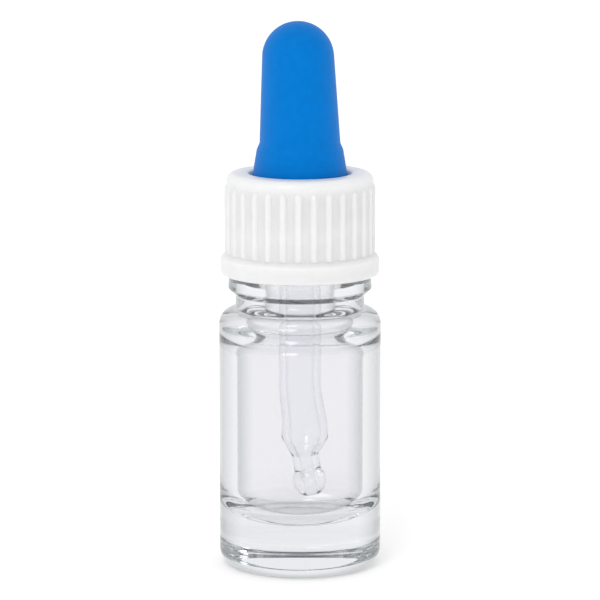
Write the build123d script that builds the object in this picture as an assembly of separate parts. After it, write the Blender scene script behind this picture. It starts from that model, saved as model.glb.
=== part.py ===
from build123d import *
import math
import os

# Small clear glass dropper bottle, in millimetres.
# Z is up the bottle's own axis, and the table that it stands on is at Z = 0.

# Moulded glass bottle, from its base up
barrel_beyond_cap = 0.27
bottle_height = 50.0
glass_wall = 2.4
base_thickness = 6.5
base_corner_r = 2.1
base_ring_width = 1.3
push_up = 0.8
push_up_slope_width = 1.2
chamber_floor_r = 3.4
chamber_top_r = 1.1
shoulder_r = 2.2
shoulder_wall = 4.5
neck_step = 0.7
neck_height = 2.05
mouth_wall = 2.35
neck_wall = 4.05
neck_bore_rise = 0.9

# Handling collar on the neck, and the finish that carries the cap's thread
finish_r = 8.05
finish_height = 9.4
collar_step = 1.54
collar_flare = 0.16
collar_height = 3.25
collar_under_slope = 0.85
collar_edge_r = 0.45
mouth_edge_r = 0.45

# Rubber bulb, whose flange is the seal between the bottle's mouth and the cap's plate
flange_thickness = 2.0
flange_bore_clearance = 0.95
bulb_length = 24.35
bulb_foot_r = 5.45
bulb_dome_r = 4.84
bulb_wall = 1.2
bulb_collar_length = 5.95
bulb_collar_flare = 0.84
bulb_ledge = 0.39
bulb_ledge_height = 0.9
bulb_hollow_rise = 1.4

# Screw cap, turned round the thread and the bulb's collar
cap_plate_thickness = 1.95
cap_wall = 0.8
cap_top_corner_r = 1.1
cap_thread_room = 1.1
cap_hole_clearance = 0.25
cap_hole_edge_r = 0.3
cap_collar_overlap = 0.45
skirt_clearance = 0.2
skirt_wall = 0.94
skirt_height = 2.3
skirt_slope_height = 0.65
skirt_foot_r = 0.4
skirt_recess_depth = 1.35

# Grip ribs of the cap
rib_count = 30
rib_height = 0.3
rib_width = 0.92
rib_crest_width = 0.4
rib_top_drop = 1.7
rib_first_angle = -91.25

# Glass pipette, with a blown ball on its bent tip
pipette_r = 2.87
pipette_wall = 0.9
pipette_grip_length = 7.2
pipette_floor_clearance = 2.85
swell = 0.33
swell_height = 2.75
swell_fade_height = 2.6
tip_neck_r = 1.85
tip_neck_straight = 0.5
tip_bore_r = 0.85
tip_bend_r = 6.2
tip_bend_angle = 36.0
tip_bend_bands = 3
tip_ball_r = 2.3
tip_ball_cut = 0.35

# Radii of the finish and the collar, the cap turned round them, and the barrel as wide as the cap
neck_r = finish_r + neck_step
collar_r = finish_r + collar_step
mouth_r = finish_r - mouth_wall
neck_bore_r = neck_r - neck_wall
cap_bore_r = finish_r + cap_thread_room
cap_r = cap_bore_r + cap_wall
skirt_bore_r = collar_r + skirt_clearance
skirt_r = skirt_bore_r + skirt_wall
bottle_r = skirt_r + barrel_beyond_cap
chamber_r = bottle_r - glass_wall
base_ring_r = bottle_r - base_corner_r - base_ring_width
push_up_flat_r = base_ring_r - push_up_slope_width

# Heights on the bottle
collar_top_z = bottle_height - finish_height
collar_bottom_z = collar_top_z - collar_height
shoulder_z = collar_bottom_z - neck_height

# Places on the bulb and the cap
flange_top_z = bottle_height + flange_thickness
bulb_collar_top_z = flange_top_z + bulb_collar_length
bulb_top_z = bottle_height + bulb_length
bulb_collar_top_r = bulb_foot_r + bulb_ledge
bulb_collar_foot_r = bulb_collar_top_r + bulb_collar_flare
cap_hole_r = bulb_collar_foot_r + cap_hole_clearance
cap_top_z = flange_top_z + cap_plate_thickness
cap_bottom_z = collar_top_z - cap_collar_overlap
flange_r = cap_bore_r - flange_bore_clearance

# Places on the pipette
pipette_top_z = bottle_height + pipette_grip_length
pipette_bore_r = pipette_r - pipette_wall
tip_tilt = math.radians(tip_bend_angle)
ball_x = tip_bend_r * (1 - math.cos(tip_tilt))
ball_z = base_thickness + pipette_floor_clearance + tip_ball_r
tip_neck_z = ball_z + tip_bend_r * math.sin(tip_tilt)
swell_z = tip_neck_z + swell_height

# The widest flat band that a rounding or a dome is made of, in sight and where the bulb hides it
band_width = 0.97
hidden_band_width = 3.0

# The share of a straight side that the two roundings at its ends may take up
side_share = 0.98


def rounding_reach(before, corner, after, radius):
    """How far a rounding of this radius runs back along each side of its corner."""
    turn = (corner - before).get_angle(after - corner)
    return radius * math.tan(math.radians(turn) / 2)


def limited_radii(points, radii):
    """The corner radii, each made smaller where a side beside it is too short for it."""
    count = len(points)
    reaches = [
        rounding_reach(points[n - 1], points[n], points[(n + 1) % count], radii[n])
        for n in range(count)
    ]
    shares = [1.0] * count
    for n in range(count):
        after = (n + 1) % count
        room = side_share * (points[after] - points[n]).length
        taken = reaches[n] + reaches[after]
        if taken > room:
            shares[n] = min(shares[n], room / taken)
            shares[after] = min(shares[after], room / taken)
    return [radius * share for radius, share in zip(radii, shares)]


def arc_points(centre, spoke, turn, widest=band_width):
    """Points along an arc round a centre, from the end of a spoke, with flat bands between them."""
    bands = math.ceil(math.radians(abs(turn)) * spoke.length / widest)
    return [centre + spoke.rotate(Axis.Z, turn * n / bands) for n in range(bands + 1)]


def rounding(before, corner, after, radius):
    """Points of a corner's rounding, which is one chamfer where it is small."""
    if radius == 0:
        return [corner]
    turn = (corner - before).get_signed_angle(after - corner, Vector(0, 0, 1))
    reach = rounding_reach(before, corner, after, radius)
    start = corner + (before - corner).normalized() * reach
    inwards = (before - corner).normalized() + (after - corner).normalized()
    centre = corner + inwards.normalized() * math.hypot(radius, reach)
    return arc_points(centre, start - centre, turn)


def outline_points(corners):
    """Points of an outline of (radius, height, corner radius) rows, with its corners rounded."""
    points = [Vector(r, z) for r, z, _ in corners]
    radii = limited_radii(points, [corner for _, _, corner in corners])
    count = len(points)
    return [
        point
        for n in range(count)
        for point in rounding(points[n - 1], points[n], points[(n + 1) % count], radii[n])
    ]


def revolved(points):
    """A closed outline of (radius, height) points, turned about the Z axis."""
    return revolve(make_face(Plane.XZ * Polyline(*points, close=True)), Axis.Z)


def turned(corners):
    """A closed outline of (radius, height, corner radius) rows, turned about the Z axis."""
    return revolved(outline_points(corners))


def glass_bottle():
    """Bottle with a pushed-up base, round shoulder, handling collar and a finish for the cap."""
    outside = [
        (0, push_up, 0),
        (push_up_flat_r, push_up, 0),
        (base_ring_r, 0, 0),
        (bottle_r, 0, base_corner_r),
        (bottle_r, shoulder_z, shoulder_r),
        (neck_r, shoulder_z, 0),
        (neck_r, collar_bottom_z, 0),
        (collar_r + collar_flare, collar_bottom_z + collar_under_slope, 0),
        (collar_r, collar_top_z, collar_edge_r),
        (finish_r, collar_top_z, 0),
        (finish_r, bottle_height, mouth_edge_r),
    ]
    inside = [
        (mouth_r, bottle_height, 0),
        (neck_bore_r, shoulder_z + neck_bore_rise, 0),
        (chamber_r, shoulder_z - shoulder_wall, chamber_top_r),
        (chamber_r, base_thickness, chamber_floor_r),
        (0, base_thickness, 0),
    ]
    return turned(outside + inside)


def domed(foot_r, foot_z, dome_r, top_z, widest=band_width):
    """A round bar on its foot, tapered or straight, whose side runs smoothly into its domed top."""
    centre = Vector(0, top_z - dome_r)
    foot = Vector(foot_r, foot_z)
    foot_distance = (foot - centre).length
    touch = math.acos(dome_r / foot_distance) - math.acos(foot_r / foot_distance)
    spoke = Vector(dome_r * math.cos(touch), dome_r * math.sin(touch))
    dome = arc_points(centre, spoke, 90 - math.degrees(touch), widest)
    return revolved([Vector(0, foot_z), foot] + dome)


def rubber_bulb():
    """Hollow bulb with a domed top, a conical collar and a flat flange round the pipette's bore."""
    hollow_r = bulb_dome_r - bulb_wall
    hollow_z = pipette_top_z + bulb_hollow_rise
    foot = turned(
        [
            (0, bottle_height, 0),
            (flange_r, bottle_height, 0),
            (flange_r, flange_top_z, 0),
            (bulb_collar_foot_r, flange_top_z, 0),
            (bulb_collar_top_r, bulb_collar_top_z - bulb_ledge_height, 0),
            (bulb_foot_r, bulb_collar_top_z, 0),
            (0, bulb_collar_top_z, 0),
        ]
    )
    head = domed(bulb_foot_r, bulb_collar_top_z, bulb_dome_r, bulb_top_z)
    hollow = domed(hollow_r, hollow_z, hollow_r, bulb_top_z - bulb_wall, hidden_band_width)
    bore = turned(
        [
            (0, bottle_height, 0),
            (pipette_r, bottle_height, 0),
            (pipette_r, hollow_z, 0),
            (0, hollow_z, 0),
        ]
    )
    return foot + head - hollow - bore


def cap_outside():
    """Solid outer form of the cap: a drum with a thicker skirt at its foot."""
    skirt_top_z = cap_bottom_z + skirt_height
    return turned(
        [
            (0, cap_bottom_z, 0),
            (skirt_r, cap_bottom_z, skirt_foot_r),
            (skirt_r, skirt_top_z, 0),
            (cap_r, skirt_top_z + skirt_slope_height, 0),
            (cap_r, cap_top_z, cap_top_corner_r),
            (cap_hole_r, cap_top_z, cap_hole_edge_r),
            (cap_hole_r, flange_top_z, 0),
            (0, flange_top_z, 0),
        ]
    )


def cap_inside():
    """Room in the cap for the flange and the finish, and a wider recess for the glass collar."""
    recess_top_z = cap_bottom_z + skirt_recess_depth
    return turned(
        [
            (0, cap_bottom_z, 0),
            (skirt_bore_r, cap_bottom_z, 0),
            (skirt_bore_r, recess_top_z, 0),
            (cap_bore_r, recess_top_z, 0),
            (cap_bore_r, flange_top_z, 0),
            (0, flange_top_z, 0),
        ]
    )


def grip_rib():
    """Upright rib with slanted sides, half sunk in the cap's wall, and a bevelled top end."""
    foot_z = cap_bottom_z + skirt_height
    top_z = cap_top_z - rib_top_drop
    crest_r = cap_r + rib_height
    root_r = cap_r - rib_height
    root_width = 2 * rib_width - rib_crest_width
    section = make_face(
        Polyline(
            (root_r, -root_width / 2),
            (crest_r, -rib_crest_width / 2),
            (crest_r, rib_crest_width / 2),
            (root_r, root_width / 2),
            close=True,
        )
    )
    rib = extrude(Pos(0, 0, foot_z) * section, top_z - foot_z)
    bevel = Plane(origin=(crest_r, 0, top_z - rib_height), z_dir=(1, 0, 1))
    return split(rib, bevel, keep=Keep.BOTTOM)


def screw_cap():
    """Cap with a hole for the bulb in its plate and grip ribs on its wall."""
    step = 360 / rib_count
    rib = grip_rib()
    ribs = [Rot(0, 0, rib_first_angle + step * n) * rib for n in range(rib_count)]
    return cap_outside() + ribs - cap_inside()


def bent_bar(radius):
    """A bar from the straight tube's end to the ball's centre, bending in even steps towards +X."""
    step = tip_bend_angle / tip_bend_bands
    bend = CenterArc((tip_bend_r, tip_neck_z), tip_bend_r, 180, tip_bend_angle)
    path = Plane.XZ * Polyline(*[bend @ (n / tip_bend_bands) for n in range(tip_bend_bands + 1)])
    first_run = (math.sin(math.radians(step / 2)), 0, -math.cos(math.radians(step / 2)))
    section = Plane(origin=(0, 0, tip_neck_z), z_dir=first_run) * Circle(radius)
    return sweep(section, path, transition=Transition.RIGHT)


def straight_tube():
    """The pipette's tube down to its thin neck, with the swell above the cone and no bore."""
    return turned(
        [
            (0, pipette_top_z, 0),
            (pipette_r, pipette_top_z, 0),
            (pipette_r, swell_z + swell_fade_height, 0),
            (pipette_r + swell, swell_z, 0),
            (tip_neck_r, tip_neck_z + tip_neck_straight, 0),
            (tip_neck_r, tip_neck_z, 0),
            (0, tip_neck_z, 0),
        ]
    )


def straight_bore():
    """The hollow of the straight tube, which narrows to the tip's fine bore in the cone."""
    return turned(
        [
            (0, pipette_top_z, 0),
            (pipette_bore_r, pipette_top_z, 0),
            (pipette_bore_r, swell_z, 0),
            (tip_bore_r, tip_neck_z + tip_neck_straight, 0),
            (tip_bore_r, tip_neck_z, 0),
            (0, tip_neck_z, 0),
        ]
    )


def glass_pipette():
    """Drawn tube with a cone down to a thin bent neck, and a ball cut flat at its mouth."""
    along_tip = Plane(
        origin=(ball_x, 0, ball_z), z_dir=(math.sin(tip_tilt), 0, -math.cos(tip_tilt))
    )
    upwards = (Align.CENTER, Align.CENTER, Align.MIN)
    ball_mouth_z = tip_ball_r - tip_ball_cut
    opening = math.acos(ball_mouth_z / tip_ball_r)
    mouth_spoke = Vector(tip_ball_r * math.sin(opening), ball_mouth_z)
    round_side = arc_points(Vector(0, 0), mouth_spoke, math.degrees(opening) - 180)
    ball = along_tip * revolved([Vector(0, ball_mouth_z)] + round_side)
    ball_bore = along_tip * Cylinder(tip_bore_r, tip_ball_r, align=upwards)
    body = straight_tube() + bent_bar(tip_neck_r) + ball
    return body - straight_bore() - bent_bar(tip_bore_r) - ball_bore


def main():
    os.makedirs("parts", exist_ok=True)
    pieces = {
        "glass_bottle": glass_bottle(),
        "screw_cap": screw_cap(),
        "rubber_bulb": rubber_bulb(),
        "glass_pipette": glass_pipette(),
    }
    for name, piece in pieces.items():
        export_step(piece, f"parts/{name}.step")


main()
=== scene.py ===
import math

import bmesh
import bpy
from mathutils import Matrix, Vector


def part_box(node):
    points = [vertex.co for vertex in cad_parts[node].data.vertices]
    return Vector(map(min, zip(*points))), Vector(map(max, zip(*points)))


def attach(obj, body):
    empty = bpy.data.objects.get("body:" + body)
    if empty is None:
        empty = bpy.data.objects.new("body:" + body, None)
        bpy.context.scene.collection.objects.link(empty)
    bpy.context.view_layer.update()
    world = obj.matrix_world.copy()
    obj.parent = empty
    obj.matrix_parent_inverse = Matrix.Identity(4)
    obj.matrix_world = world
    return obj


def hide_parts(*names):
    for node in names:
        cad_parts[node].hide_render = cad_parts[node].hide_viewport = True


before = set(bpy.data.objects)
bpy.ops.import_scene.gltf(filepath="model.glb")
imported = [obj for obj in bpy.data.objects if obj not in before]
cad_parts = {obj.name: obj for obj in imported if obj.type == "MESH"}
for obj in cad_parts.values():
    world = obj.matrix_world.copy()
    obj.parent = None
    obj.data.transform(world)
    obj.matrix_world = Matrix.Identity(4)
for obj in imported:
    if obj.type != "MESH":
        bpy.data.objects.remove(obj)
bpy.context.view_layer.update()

MM = 0.001
FULL_TURN = 2 * math.pi

# Camera, as the photograph was taken: from in front and a little above, in millimetres and degrees
camera_place = (0.0, -458.0, 118.0)
camera_target = (0.0, 0.0, 36.42)
camera_view_angle = 10.008

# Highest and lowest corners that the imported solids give, in millimetres
bottle_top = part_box("glass_bottle")[1] / MM
bulb_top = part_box("rubber_bulb")[1] / MM
cap_low, cap_high = (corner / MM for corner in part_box("screw_cap"))
pipette_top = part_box("glass_pipette")[1] / MM

# Glass bottle, in millimetres
bottle_r = bottle_top.x
mouth_z = bottle_top.z
finish_r = 8.05
finish_height = 9.4
collar_height = 3.25
collar_r = 9.59
collar_flare = 0.16
collar_slope = 0.85
neck_height = 2.05
neck_r = 8.75
mouth_r = 5.7
neck_bore_r = 4.7
neck_bore_rise = 0.9
shoulder_wall = 4.5
glass_wall = 2.4
base_thickness = 6.5
base_ring_r = 7.6
push_up = 0.8
push_up_flat_r = 4.0

# Roundings of the glass bottle, in millimetres
push_up_round_r = 9.0
base_ring_round_r = 0.4
heel_round_r = 2.15
shoulder_round_r = 2.0
neck_foot_round_r = 0.24
glass_groove_r = 0.22
collar_under_round_r = 0.35
collar_top_round_r = 0.45
mouth_round_r = 0.55
neck_bore_round_r = 2.5
chamber_top_round_r = 4.0
chamber_floor_round_r = 4.5

# Thread of the neck and the cap, in millimetres and turns
thread_pitch = 3.0
thread_turns = 1.7
thread_depth = 0.85
thread_reach = 7.2
thread_crest = 0.35
thread_root = 0.95
thread_fade = 0.5
thread_low_z = mouth_z - thread_reach

# Screw cap, in millimetres
cap_r = 9.95
cap_bore_r = 9.15
cap_hole_r = 6.93
cap_top_round_r = 1.1
cap_hole_round_r = 0.3
cap_edge_r = 0.4
cap_bore_edge_r = 0.1
skirt_bore_r = 9.79
skirt_height = 2.3
skirt_slope_height = 0.65
skirt_recess_depth = 1.35
rib_count = 30
rib_height = 0.3
rib_rod_r = 0.5
rib_top_z = 52.25
rib_first_angle = math.radians(-91.25)

# Rubber bulb, in millimetres
flange_r = 8.2
flange_top_z = 52.0
flange_round_r = 0.3
bulb_collar_top_z = 57.95
bulb_collar_foot_r = 6.68
bulb_collar_top_r = 5.84
bulb_collar_foot_round_r = 0.25
bulb_collar_top_round_r = 0.3
bulb_ledge_height = 0.9
bulb_foot_r = 5.45
bulb_foot_round_r = 0.5
bulb_dome_r = 4.84
bulb_wall = 1.2
bulb_hollow_rise = 1.4
bulb_hollow_round_r = 0.8
bulb_bore_round_r = 0.2
bulb_lean = -0.26
bulb_lean_share = 0.75

# Pipette, in millimetres
pipette_r = 2.87
pipette_wall = 0.9
pipette_round_r = 0.3
pipette_bore_round_r = 0.2
pipette_floor_clearance = 2.85
swell = 0.35
swell_z = 17.6
swell_fade_height = 5.0
swell_bore_fade_height = 4.4
swell_fade_round_r = 20.0
swell_round_r = 1.2
swell_bore_round_r = 2.0
cone_foot_z = 15.2
cone_foot_round_r = 0.8
cone_bore_round_r = 1.0
tip_neck_r = 1.83
tip_bore_r = 0.85
tip_mouth_round_r = 0.15
tip_ball_r = 2.3
tip_ball_cut = 0.35
tip_ball_steps = 14

# Wander of the hand-drawn pipette to the right, in millimetres, and the lean of its tip, as a slope
drift = 0.65
drift_top_z = 25.0
drift_height = 6.5
tip_lean = 0.17
tip_lean_z = 16.2
tip_bend_height = 1.5

# How many sides each round piece has
bottle_sides = 192
cap_sides = 20 * rib_count
bulb_sides = 96
pipette_sides = 64

# Studio, in metres, watts and shares of white
surround_strength = 0.8
floor_r = 3.0
floor_drop = 0.00005
floor_shade = 0.9
floor_glow = 0.3
floor_white_share = 0.62
key_light_place = (-0.3, -0.8, 0.85)
key_light_target = (0, 0, 0.04)
key_light_width = 0.5
key_light_power = 3.0


def smooth(share):
    """A soft step from 0 to 1."""
    share = min(1.0, max(0.0, share))
    return share * share * (3 - 2 * share)


def arc_through(before, corner, after, radius, arc_step):
    """Points of the rounding of one corner, or the corner itself where it is sharp."""
    back = (before - corner).normalized()
    ahead = (after - corner).normalized()
    turn = math.pi - back.angle(ahead)
    if radius <= 0 or turn < math.radians(1):
        return [corner]
    room = min((before - corner).length, (after - corner).length)
    reach = min(radius * math.tan(turn / 2), room)
    radius = reach / math.tan(turn / 2)
    centre = corner + (back + ahead).normalized() * math.hypot(radius, reach)
    spoke = corner + back * reach - centre
    side = 1 if ahead.x * back.y - ahead.y * back.x > 0 else -1
    count = max(2, math.ceil(turn / arc_step))
    points = []
    for n in range(count + 1):
        angle = side * turn * n / count
        along = spoke.x * math.cos(angle) - spoke.y * math.sin(angle)
        across = spoke.x * math.sin(angle) + spoke.y * math.cos(angle)
        points.append(centre + Vector((along, across)))
    return points


def rounded(corners, closed=False, arc_step=math.radians(6), longest=0.6):
    """An outline through (radius, height, corner radius) rows, with arcs at its corners and no long side."""
    places = [Vector((r, z)) for r, z, _ in corners]
    count = len(places)
    outline = []
    for n, (_, _, radius) in enumerate(corners):
        at_end = not closed and n in (0, count - 1)
        if at_end:
            outline.append(places[n])
        else:
            outline += arc_through(places[n - 1], places[n], places[(n + 1) % count], radius, arc_step)
    if closed:
        outline.append(outline[0])
    filled = [outline[0]]
    for point in outline[1:]:
        start = filled[-1]
        parts = max(1, math.ceil((point - start).length / longest))
        filled += [start.lerp(point, k / parts) for k in range(1, parts + 1)]
    if closed:
        filled.pop()
    return filled


def rings_to_mesh(name, rings, closed=False):
    """A smooth mesh over rings of points in millimetres; a ring of one point is a pole."""
    mesh = bpy.data.meshes.new(name)
    bm = bmesh.new()
    rows = [[bm.verts.new(point * MM) for point in ring] for ring in rings]
    pairs = list(zip(rows, rows[1:]))
    if closed:
        pairs.append((rows[-1], rows[0]))
    for low, high in pairs:
        for k in range(max(len(low), len(high))):
            quad = [
                low[k % len(low)],
                low[(k + 1) % len(low)],
                high[(k + 1) % len(high)],
                high[k % len(high)],
            ]
            distinct = list(dict.fromkeys(quad))
            bm.faces.new(distinct)
    bmesh.ops.recalc_face_normals(bm, faces=bm.faces)
    bm.to_mesh(mesh)
    bm.free()
    mesh.polygons.foreach_set("use_smooth", [True] * len(mesh.polygons))
    piece = bpy.data.objects.new(name, mesh)
    bpy.context.scene.collection.objects.link(piece)
    return piece


def turned(name, outline, sides, shaped=None, closed=False):
    """An outline of (radius, height) points turned about the Z axis; shaped may move a point's radius."""
    rings = []
    for point in outline:
        if point.x < 1e-6:
            rings.append([Vector((0, 0, point.y))])
            continue
        ring = []
        for k in range(sides):
            angle = FULL_TURN * k / sides
            radius = shaped(point, angle) if shaped else point.x
            ring.append(Vector((radius * math.cos(angle), radius * math.sin(angle), point.y)))
        rings.append(ring)
    return rings_to_mesh(name, rings, closed)


def thread_share(angle, z, low_z):
    """How much of the thread's depth stands at a point, for a right-hand thread that starts at low_z."""
    most = 0.0
    for turn in range(math.ceil(thread_turns) + 1):
        along = angle / FULL_TURN + turn
        off = abs(z - low_z - thread_pitch * along)
        flank = smooth((thread_root - off) / (thread_root - thread_crest))
        ends = smooth(along / thread_fade) * smooth((thread_turns - along) / thread_fade)
        most = max(most, flank * ends)
    return most


def finish_radius(point, angle):
    """Radius of the bottle at a point of its outline, with the thread raised on its finish."""
    if abs(point.x - finish_r) >= 0.01:
        return point.x
    return point.x + thread_depth * thread_share(angle, point.y, thread_low_z)


def make_glass_bottle():
    """The bottle as one closed glass body, with the thread raised on its finish."""
    collar_top_z = mouth_z - finish_height
    collar_bottom_z = collar_top_z - collar_height
    shoulder_z = collar_bottom_z - neck_height
    chamber_r = bottle_r - glass_wall
    outline = rounded(
        [
            (0, push_up, 0),
            (push_up_flat_r, push_up, push_up_round_r),
            (base_ring_r, 0, base_ring_round_r),
            (bottle_r, 0, heel_round_r),
            (bottle_r, shoulder_z, shoulder_round_r),
            (neck_r, shoulder_z, neck_foot_round_r),
            (neck_r, collar_bottom_z, glass_groove_r),
            (collar_r + collar_flare, collar_bottom_z + collar_slope, collar_under_round_r),
            (collar_r, collar_top_z, collar_top_round_r),
            (finish_r, collar_top_z, glass_groove_r),
            (finish_r, mouth_z, mouth_round_r),
            (mouth_r, mouth_z, mouth_round_r),
            (neck_bore_r, shoulder_z + neck_bore_rise, neck_bore_round_r),
            (chamber_r, shoulder_z - shoulder_wall, chamber_top_round_r),
            (chamber_r, base_thickness, chamber_floor_round_r),
            (0, base_thickness, 0),
        ],
        longest=0.25,
    )
    return turned("bottle_glass", outline, bottle_sides, finish_radius)


def rib_radius(angle, z):
    """Radius of the cap's wall at a point, where upright rods are half sunk in it."""
    step = FULL_TURN / rib_count
    off = (angle - rib_first_angle + step / 2) % step - step / 2
    centre_r = cap_r + rib_height - rib_rod_r
    above = max(0.0, z - (rib_top_z - rib_rod_r))
    room = rib_rod_r**2 - above**2 - (centre_r * math.sin(off)) ** 2
    if room <= 0:
        return cap_r
    return max(cap_r, centre_r * math.cos(off) + math.sqrt(room))


def cap_radius(point, angle):
    """Radius of the cap at a point of its outline, with its ribs outside and its thread inside."""
    if abs(point.x - cap_r) < 0.01 and point.y < rib_top_z + 0.1:
        return rib_radius(angle, point.y)
    if abs(point.x - cap_bore_r) < 0.01 and point.y < flange_top_z - 0.1:
        return point.x - thread_depth * thread_share(angle, point.y, thread_low_z + thread_pitch / 2)
    return point.x


def make_screw_cap():
    """The cap as one closed shell, with its ribs outside and its thread inside."""
    low, high = cap_low.z, cap_high.z
    skirt_top_z = low + skirt_height
    recess_top_z = low + skirt_recess_depth
    outline = rounded(
        [
            (skirt_bore_r, low, cap_bore_edge_r),
            (cap_high.x, low, cap_edge_r),
            (cap_high.x, skirt_top_z, cap_edge_r),
            (cap_r, skirt_top_z + skirt_slope_height, cap_edge_r),
            (cap_r, high, cap_top_round_r),
            (cap_hole_r, high, cap_hole_round_r),
            (cap_hole_r, flange_top_z, 0),
            (cap_bore_r, flange_top_z, 0),
            (cap_bore_r, recess_top_z, cap_bore_edge_r),
            (skirt_bore_r, recess_top_z, cap_bore_edge_r),
        ],
        closed=True,
        longest=0.25,
    )
    return turned("cap_shell", outline, cap_sides, cap_radius, closed=True)


def dome_points(foot, dome_r, top_z, steps):
    """Points of a dome, up to its top, from where a line from its foot touches it."""
    centre = Vector((0, top_z - dome_r))
    away = (foot - centre).length
    touch = math.acos(dome_r / away) - math.acos(foot.x / away)
    angles = [touch + (math.pi / 2 - touch) * n / steps for n in range(steps + 1)]
    dome = [centre + dome_r * Vector((math.cos(angle), math.sin(angle))) for angle in angles]
    dome[-1].x = 0
    return dome


def make_rubber_bulb():
    """The bulb with its hollow, leaning a little to the left above its collar as in the photograph."""
    top = bulb_top.z
    hollow_r = bulb_dome_r - bulb_wall
    hollow_z = pipette_top.z + bulb_hollow_rise
    foot = Vector((bulb_foot_r, bulb_collar_top_z))
    hollow_foot = Vector((hollow_r, hollow_z))
    head = dome_points(foot, bulb_dome_r, top, 20)
    hollow = dome_points(hollow_foot, hollow_r, top - bulb_wall, 12)
    outline = rounded(
        [(point.x, point.y, 0) for point in reversed(hollow)]
        + [
            (hollow_r, hollow_z, bulb_hollow_round_r),
            (pipette_r, hollow_z, bulb_bore_round_r),
            (pipette_r, mouth_z, 0),
            (flange_r, mouth_z, flange_round_r),
            (flange_r, flange_top_z, flange_round_r),
            (bulb_collar_foot_r, flange_top_z, bulb_collar_foot_round_r),
            (bulb_collar_top_r, bulb_collar_top_z - bulb_ledge_height, bulb_collar_top_round_r),
            (bulb_foot_r, bulb_collar_top_z, bulb_foot_round_r),
        ]
        + [(point.x, point.y, 0) for point in head],
        longest=0.3,
    )
    piece = turned("bulb_rubber", outline, bulb_sides)
    lean_height = bulb_lean_share * (top - bulb_collar_top_z)
    for vertex in piece.data.vertices:
        height = vertex.co.z / MM - bulb_collar_top_z
        share = min(1.0, max(0.0, height / lean_height))
        vertex.co.x += bulb_lean * MM * share
    return piece


def pipette_axis_x(z):
    """How far the pipette's centre line stands to the right at a height, as the hand-drawn tube wanders."""
    below = max(0.0, tip_lean_z - z)
    bend = min(below, tip_bend_height)
    leaning = bend**2 / (2 * tip_bend_height) + below - bend
    return drift * smooth((drift_top_z - z) / drift_height) + tip_lean * leaning


def pipette_outline():
    """The closed outline of the pipette's wall: down its outside, round its ball and up its bore."""
    top = pipette_top.z
    ball_z = base_thickness + pipette_floor_clearance + tip_ball_r
    ball_mouth_z = ball_z - tip_ball_r + tip_ball_cut
    bore_r = pipette_r - pipette_wall
    ball_start = math.asin(tip_neck_r / tip_ball_r)
    ball_end = math.acos((ball_mouth_z - ball_z) / tip_ball_r)
    ball = []
    for k in range(1, tip_ball_steps + 1):
        angle = ball_start + (ball_end - ball_start) * k / tip_ball_steps
        ball.append((tip_ball_r * math.sin(angle), ball_z + tip_ball_r * math.cos(angle), 0))
    outside = [
        (pipette_r, top, pipette_round_r),
        (pipette_r, swell_z + swell_fade_height, swell_fade_round_r),
        (pipette_r + swell, swell_z, swell_round_r),
        (tip_neck_r, cone_foot_z, cone_foot_round_r),
        (tip_neck_r, ball_z + tip_ball_r * math.cos(ball_start), 0),
    ]
    inside = [
        (tip_bore_r, ball_mouth_z, tip_mouth_round_r),
        (tip_bore_r, cone_foot_z, cone_bore_round_r),
        (bore_r + swell, swell_z, swell_bore_round_r),
        (bore_r, swell_z + swell_bore_fade_height, swell_fade_round_r),
        (bore_r, top, pipette_bore_round_r),
    ]
    return rounded(outside + ball + inside, closed=True, longest=0.4)


def make_glass_pipette():
    """The pipette as one closed glass tube that follows its wandering centre line to the ball."""
    rings = []
    step = 0.01
    for point in pipette_outline():
        centre = Vector((pipette_axis_x(point.y), 0, point.y))
        shift = pipette_axis_x(point.y + step) - pipette_axis_x(point.y - step)
        beside = Vector((2 * step, 0, -shift)).normalized()
        across = Vector((0, 1, 0))
        ring = []
        for k in range(pipette_sides):
            angle = FULL_TURN * k / pipette_sides
            spoke = beside * point.x * math.cos(angle) + across * point.x * math.sin(angle)
            ring.append(centre + spoke)
        rings.append(ring)
    return rings_to_mesh("pipette_glass", rings, closed=True)


def new_material(name):
    """A material with only its output and one Principled shader."""
    material = bpy.data.materials.new(name)
    material.use_nodes = True
    return material, material.node_tree, material.node_tree.nodes["Principled BSDF"]


def add_noise(tree, scale, detail):
    """A procedural noise over the piece, with scale blobs per metre."""
    place = tree.nodes.new("ShaderNodeTexCoord")
    noise = tree.nodes.new("ShaderNodeTexNoise")
    noise.inputs["Scale"].default_value = scale
    noise.inputs["Detail"].default_value = detail
    tree.links.new(place.outputs["Object"], noise.inputs["Vector"])
    return noise.outputs["Fac"]


def add_bump(tree, shader, scale, height):
    """A fine unevenness of the surface, scale bumps per metre and height metres high."""
    bump = tree.nodes.new("ShaderNodeBump")
    bump.inputs["Distance"].default_value = height
    tree.links.new(add_noise(tree, scale, 2.0), bump.inputs["Height"])
    tree.links.new(bump.outputs["Normal"], shader.inputs["Normal"])


def add_shades(tree, shader, factor, stops):
    """Colours a shader by a factor, through a ramp with two stops of (factor, colour)."""
    shades = tree.nodes.new("ShaderNodeValToRGB")
    for element, (position, colour) in zip(shades.color_ramp.elements, stops):
        element.position = position
        element.color = (*colour, 1)
    tree.links.new(factor, shades.inputs["Fac"])
    tree.links.new(shades.outputs["Color"], shader.inputs["Base Color"])


def add_mottle(tree, shader, scale, darker, lighter):
    """A faint cloudiness of the colour between two near shades, scale clouds per metre."""
    add_shades(tree, shader, add_noise(tree, scale, 4.0), [(0.35, darker), (0.65, lighter)])


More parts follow.
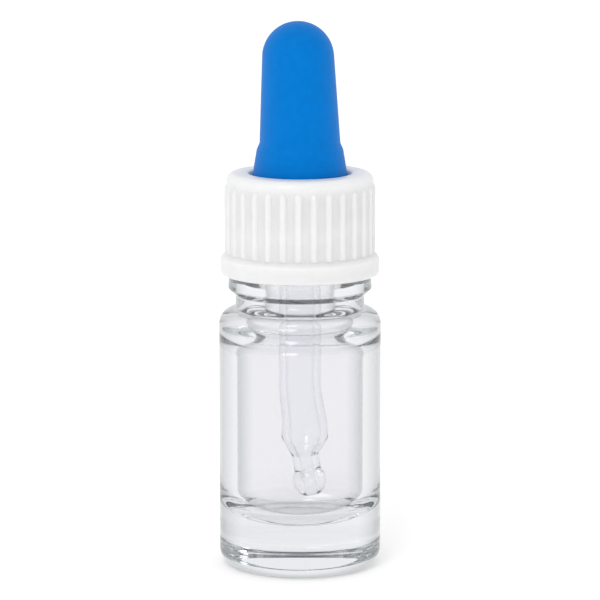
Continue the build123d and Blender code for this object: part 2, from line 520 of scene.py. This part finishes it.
def glass_material(name, tint, glancing_painted_shade, wave_height):
    """Clear glass, a little uneven, a little green where it is thick, with painted shade that greys its
    colour at a glancing view.
    """
    material, tree, shader = new_material(name)
    shader.inputs["Roughness"].default_value = 0.0
    shader.inputs["IOR"].default_value = 1.52
    shader.inputs["Transmission Weight"].default_value = 1.0
    add_bump(tree, shader, 60, wave_height)
    # Painted shade: the colour turns from the tint to a darker grey where the surface is seen at a glancing
    # angle
    glance = tree.nodes.new("ShaderNodeLayerWeight")
    glance.inputs["Blend"].default_value = 0.5
    add_shades(tree, shader, glance.outputs["Facing"], [(0.33, tint), (0.7, glancing_painted_shade)])
    depth = tree.nodes.new("ShaderNodeVolumeAbsorption")
    depth.inputs["Color"].default_value = (0.88, 0.9, 0.9, 1)
    depth.inputs["Density"].default_value = 40.0
    tree.links.new(depth.outputs["Volume"], tree.nodes["Material Output"].inputs["Volume"])
    return material


def plastic_material():
    """White moulded polypropylene, which lets light through to its inside."""
    material, tree, shader = new_material("white_polypropylene")
    shader.inputs["Roughness"].default_value = 0.4
    shader.inputs["Subsurface Weight"].default_value = 1.0
    shader.inputs["Subsurface Radius"].default_value = (1, 1, 1)
    shader.inputs["Subsurface Scale"].default_value = 0.0018
    add_mottle(tree, shader, 700, darker=(0.81, 0.81, 0.81), lighter=(0.83, 0.83, 0.83))
    add_bump(tree, shader, 2500, 0.00001)
    return material


def rubber_material():
    """Matt blue rubber."""
    material, tree, shader = new_material("blue_rubber")
    shader.inputs["Roughness"].default_value = 0.5
    shader.inputs["Specular IOR Level"].default_value = 0.15
    shader.inputs["Specular Tint"].default_value = (0.15, 0.55, 1.0, 1)
    add_mottle(tree, shader, 900, darker=(0.001, 0.172, 0.572), lighter=(0.001, 0.184, 0.608))
    add_bump(tree, shader, 4000, 0.00001)
    return material


def seen_ray(tree, kinds):
    """One where a ray is of one of these kinds, such as a camera ray, and zero elsewhere."""
    rays = tree.nodes.new("ShaderNodeLightPath")
    seen = rays.outputs[kinds[0]]
    for kind in kinds[1:]:
        either = tree.nodes.new("ShaderNodeMath")
        either.operation = "MAXIMUM"
        tree.links.new(seen, either.inputs[0])
        tree.links.new(rays.outputs[kind], either.inputs[1])
        seen = either.outputs[0]
    return seen


def make_world():
    """A white surround, softer where it only lights the object than where it is seen."""
    world = bpy.data.worlds.new("studio")
    bpy.context.scene.world = world
    world.use_nodes = True
    tree = world.node_tree
    tree.nodes.clear()
    output = tree.nodes.new("ShaderNodeOutputWorld")
    mix = tree.nodes.new("ShaderNodeMixShader")
    lighting = tree.nodes.new("ShaderNodeBackground")
    lighting.inputs["Color"].default_value = (1, 1, 1, 1)
    lighting.inputs["Strength"].default_value = surround_strength
    white = tree.nodes.new("ShaderNodeBackground")
    white.inputs["Color"].default_value = (1, 1, 1, 1)
    white.inputs["Strength"].default_value = 1.0
    seen = seen_ray(tree, ["Is Camera Ray", "Is Glossy Ray", "Is Transmission Ray"])
    tree.links.new(seen, mix.inputs[0])
    tree.links.new(lighting.outputs[0], mix.inputs[1])
    tree.links.new(white.outputs[0], mix.inputs[2])
    tree.links.new(mix.outputs[0], output.inputs["Surface"])


def floor_material():
    """A pale floor that keeps the object's shadow, and is nearer to white where glass shows it."""
    material, tree, shader = new_material("floor_white")
    shader.inputs["Base Color"].default_value = (floor_shade, floor_shade, floor_shade, 1)
    shader.inputs["Roughness"].default_value = 1.0
    shader.inputs["Emission Color"].default_value = (1, 1, 1, 1)
    shader.inputs["Emission Strength"].default_value = floor_glow
    white = tree.nodes.new("ShaderNodeEmission")
    mix = tree.nodes.new("ShaderNodeMixShader")
    share = tree.nodes.new("ShaderNodeMath")
    share.operation = "MULTIPLY"
    share.inputs[1].default_value = floor_white_share
    tree.links.new(seen_ray(tree, ["Is Glossy Ray", "Is Transmission Ray"]), share.inputs[0])
    tree.links.new(share.outputs[0], mix.inputs[0])
    tree.links.new(shader.outputs[0], mix.inputs[1])
    tree.links.new(white.outputs[0], mix.inputs[2])
    tree.links.new(mix.outputs[0], tree.nodes["Material Output"].inputs["Surface"])
    return material


def make_floor():
    """The plain round floor that the bottle stands on."""
    mesh = bpy.data.meshes.new("floor")
    bm = bmesh.new()
    bmesh.ops.create_circle(bm, cap_ends=True, segments=96, radius=floor_r)
    bm.to_mesh(mesh)
    bm.free()
    floor = bpy.data.objects.new("floor", mesh)
    floor.location.z = -floor_drop
    bpy.context.scene.collection.objects.link(floor)
    floor.data.materials.append(floor_material())


def make_camera():
    """The photograph's camera."""
    data = bpy.data.cameras.new("camera")
    data.sensor_fit = "AUTO"
    data.angle = math.radians(camera_view_angle)
    data.clip_start = 0.01
    camera = bpy.data.objects.new("camera", data)
    camera.location = Vector(camera_place) * MM
    look = (Vector(camera_target) - Vector(camera_place)).normalized()
    camera.rotation_euler = look.to_track_quat("-Z", "Y").to_euler()
    bpy.context.scene.collection.objects.link(camera)
    bpy.context.scene.camera = camera


def make_key_light():
    """A large soft light above the left front."""
    data = bpy.data.lights.new("key", "AREA")
    data.shape = "DISK"
    data.size = key_light_width
    data.energy = key_light_power
    light = bpy.data.objects.new("key", data)
    light.location = key_light_place
    aim = (Vector(key_light_target) - light.location).normalized()
    light.rotation_euler = aim.to_track_quat("-Z", "Y").to_euler()
    bpy.context.scene.collection.objects.link(light)


def dress(piece, material, body, node):
    """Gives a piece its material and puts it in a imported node's place."""
    piece.data.materials.append(material)
    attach(piece, body)
    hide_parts(node)


make_camera()
make_world()
make_floor()
make_key_light()
dress(
    make_glass_bottle(),
    glass_material(
        "moulded_glass",
        tint=(0.905, 0.902, 0.925),
        # Painted shade: the darker grey where the bottle's glass is seen at a glancing angle
        glancing_painted_shade=(0.38, 0.4, 0.41),
        wave_height=0.00002,
    ),
    "bottle",
    "glass_bottle",
)
dress(
    make_glass_pipette(),
    glass_material(
        "drawn_glass",
        tint=(0.975, 0.972, 0.985),
        # Painted shade: the darker grey where the pipette's glass is seen at a glancing angle
        glancing_painted_shade=(0.72, 0.74, 0.75),
        wave_height=0.00001,
    ),
    "dropper",
    "glass_pipette",
)
dress(make_screw_cap(), plastic_material(), "cap", "screw_cap")
dress(make_rubber_bulb(), rubber_material(), "dropper", "rubber_bulb")

# Light crosses many faces of the thick glass, so its paths may be long
scene = bpy.context.scene
scene.view_settings.view_transform = "Standard"
scene.cycles.max_bounces = 32
scene.cycles.glossy_bounces = 16
scene.cycles.transmission_bounces = 24
